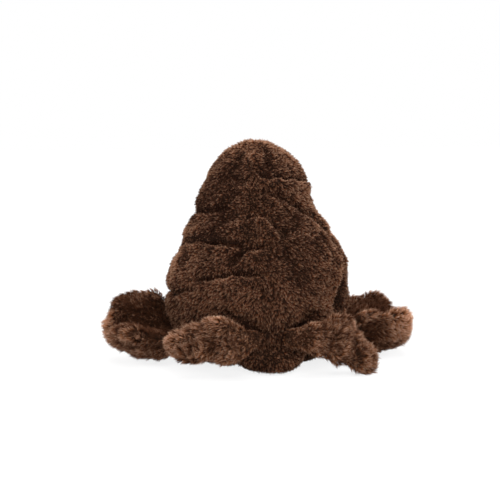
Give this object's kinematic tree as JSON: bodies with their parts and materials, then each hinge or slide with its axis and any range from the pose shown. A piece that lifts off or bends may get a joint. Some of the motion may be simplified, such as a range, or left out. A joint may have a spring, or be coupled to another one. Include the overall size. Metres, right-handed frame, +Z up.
{
  "type": "plush walrus dog toy",
  "caption": "Seated stuffed walrus dog toy of brown plush, with cupped flippers, felt tusks and a squeaker inside.",
  "frame": {"origin": "middle of the flat seat, on the surface that the toy sits on", "axes": "+Z up, +Y the way the toy faces, +X toward its right-hand flippers"},
  "size_m": [0.2695, 0.1765, 0.188],
  "materials": {
    "brown_plush": "matte",
    "flipper_plush": "matte",
    "muzzle_plush": "matte",
    "tusk_felt": "matte",
    "stitching": "satin",
    "fibre_fill": "matte",
    "pouch_cloth": "matte",
    "squeaker_plastic": "satin"
  },
  "bodies": {
    "body": {"back_panel_left": "brown_plush", "back_panel_right": "brown_plush", "belly_panel": "brown_plush", "base_panel": "brown_plush", "body_fill_lower": "fibre_fill", "body_fill_upper": "fibre_fill", "squeaker_pouch": "pouch_cloth", "squeaker_base": "squeaker_plastic", "squeaker_bellows": "squeaker_plastic", "squeaker_plug": "squeaker_plastic"},
    "head": {"head_panel_left": "brown_plush", "head_panel_right": "brown_plush", "face_panel": "brown_plush", "head_fill": "fibre_fill", "muzzle_pad_left": "muzzle_plush", "muzzle_pad_right": "muzzle_plush", "nose": "stitching", "eye_left": "stitching", "eye_right": "stitching"},
    "tusk_left": {"tusk_left": "tusk_felt"},
    "tusk_right": {"tusk_right": "tusk_felt"},
    "front_flipper_left": {"front_flipper_left_upper": "flipper_plush", "front_flipper_left_lower": "flipper_plush", "front_flipper_left_fill": "fibre_fill"},
    "front_flipper_right": {"front_flipper_right_upper": "flipper_plush", "front_flipper_right_lower": "flipper_plush", "front_flipper_right_fill": "fibre_fill"},
    "rear_flipper_left": {"rear_flipper_left_upper": "flipper_plush", "rear_flipper_left_lower": "flipper_plush", "rear_flipper_left_fill": "fibre_fill"},
    "rear_flipper_right": {"rear_flipper_right_upper": "flipper_plush", "rear_flipper_right_lower": "flipper_plush", "rear_flipper_right_fill": "fibre_fill"},
    "squeaker_cap": {"squeaker_cap": "squeaker_plastic"},
    "squeaker_reed": {"squeaker_reed": "squeaker_plastic"}
  },
  "joints": [
    {"name": "neck_nod", "type": "hinge", "parent": "body", "child": "head", "pos_m": [0, 0.0103, 0.108], "axis": [1, 0, 0], "range_deg": [-8, 8], "stiffness_Nm_per_rad": 1.2},
    {"name": "front_flipper_left_flap", "type": "hinge", "parent": "body", "child": "front_flipper_left", "pos_m": [-0.07287, 0.00122, 0.01044], "axis": [0.0184, 0.9998, 0], "range_deg": [-5, 11], "stiffness_Nm_per_rad": 0.15},
    {"name": "front_flipper_right_flap", "type": "hinge", "parent": "body", "child": "front_flipper_right", "pos_m": [0.07287, 0.00122, 0.01044], "axis": [0.0184, -0.9998, 0], "range_deg": [-3, 14], "stiffness_Nm_per_rad": 0.15},
    {"name": "rear_flipper_left_swing", "type": "hinge", "parent": "body", "child": "rear_flipper_left", "pos_m": [-0.01572, -0.0776, 0.032], "axis": [0, 0, 1], "range_deg": [-2, 50], "stiffness_Nm_per_rad": 0.15},
    {"name": "rear_flipper_right_swing", "type": "hinge", "parent": "body", "child": "rear_flipper_right", "pos_m": [0.01572, -0.0776, 0.032], "axis": [0, 0, -1], "range_deg": [-2, 50], "stiffness_Nm_per_rad": 0.15},
    {"name": "tusk_left_swing", "type": "hinge", "parent": "head", "child": "tusk_left", "pos_m": [-0.01355, 0.07668, 0.12885], "axis": [1, 0, 0], "range_deg": [-5, 35], "stiffness_Nm_per_rad": 0.02},
    {"name": "tusk_right_swing", "type": "hinge", "parent": "head", "child": "tusk_right", "pos_m": [0.01355, 0.07668, 0.12885], "axis": [1, 0, 0], "range_deg": [-5, 35], "stiffness_Nm_per_rad": 0.02},
    {"name": "squeaker_press", "type": "slide", "parent": "body", "child": "squeaker_cap", "axis": [0, 0, -1], "range_m": [0, 0.006], "stiffness_N_per_m": 400, "deforming": ["squeaker_bellows"]},
    {"name": "squeaker_reed_flutter", "type": "hinge", "parent": "body", "child": "squeaker_reed", "pos_m": [0, 0, 0.0485], "axis": [1, 0, 0], "range_deg": [-3, 3], "stiffness_Nm_per_rad": 0.002}
  ]
}
